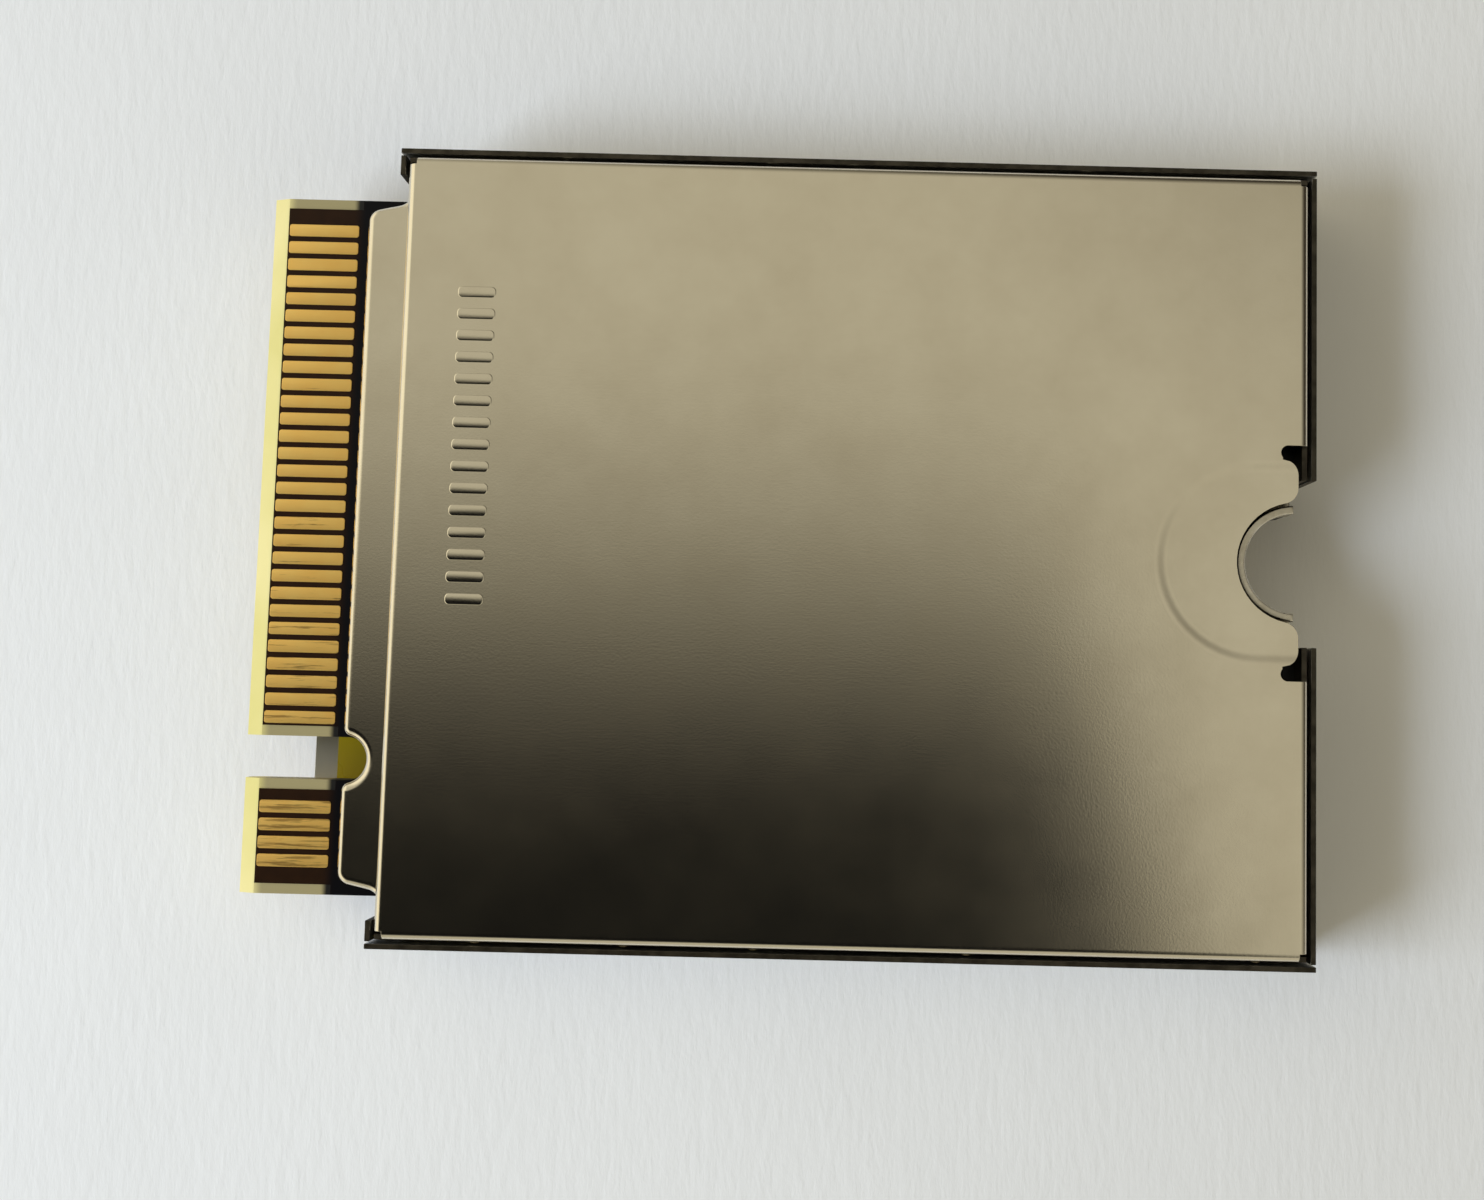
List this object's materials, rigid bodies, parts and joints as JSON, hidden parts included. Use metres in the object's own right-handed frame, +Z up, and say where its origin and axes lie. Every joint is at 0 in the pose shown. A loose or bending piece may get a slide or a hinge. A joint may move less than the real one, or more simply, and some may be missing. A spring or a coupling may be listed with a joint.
{
  "type": "gumstick solid state drive",
  "caption": "Short plug-in solid state drive card in a folded metal shield, with gold edge contacts, a key notch and a half-round screw notch.",
  "frame": {"origin": "under the middle of the card, on the plane of the tray's underside", "axes": "+X along the card from the contact tab towards the screw notch, +Z up from the tray towards the cover"},
  "size_m": [0.03, 0.0226, 0.0033],
  "materials": {
    "cover_metal": "satin nickel silver sheet",
    "tray_metal": "satin nickel silver sheet",
    "laminate": "bare glass fibre laminate, yellow-green",
    "solder_mask": "blue-black solder mask",
    "contact_gold": "hard gold plating with wipe marks",
    "plated_land": "tinned copper",
    "seat_metal": "tinned brass, satin",
    "polyimide_film": "amber film, gloss",
    "moulding_compound": "black moulding compound, fine matt",
    "solder": "reflowed solder",
    "gap_pad": "soft silicone gap pad",
    "ferrite": "grey ferrite with tinned ends",
    "tantalum_body": "orange moulded body with tinned ends",
    "can_metal": "plated lid",
    "fuse_body": "green glazed body",
    "ceramic_body": "fired ceramic with tinned ends",
    "resistor_body": "black glaze with tinned ends"
  },
  "bodies": {
    "root": {"upper_cover": "cover_metal", "lower_tray": "tray_metal", "circuit_board": "laminate", "upper_solder_mask": "solder_mask", "lower_solder_mask": "solder_mask", "upper_contacts": "contact_gold", "lower_contacts": "contact_gold", "screw_land": "plated_land", "upper_screw_seat": "seat_metal", "lower_screw_seat": "seat_metal", "insulating_film": "polyimide_film", "controller_chip": "moulding_compound", "flash_package": "moulding_compound", "power_chip": "moulding_compound", "boot_memory_chip": "moulding_compound", "load_switch_chip": "moulding_compound", "controller_balls": "solder", "flash_balls": "solder", "controller_pad": "gap_pad", "flash_pad": "gap_pad", "power_chip_pad": "gap_pad", "power_inductors": "ferrite", "bulk_capacitors": "tantalum_body", "crystal": "can_metal", "input_fuse": "fuse_body", "small_capacitors": "ceramic_body", "small_resistors": "resistor_body"}
  },
  "joints": []
}
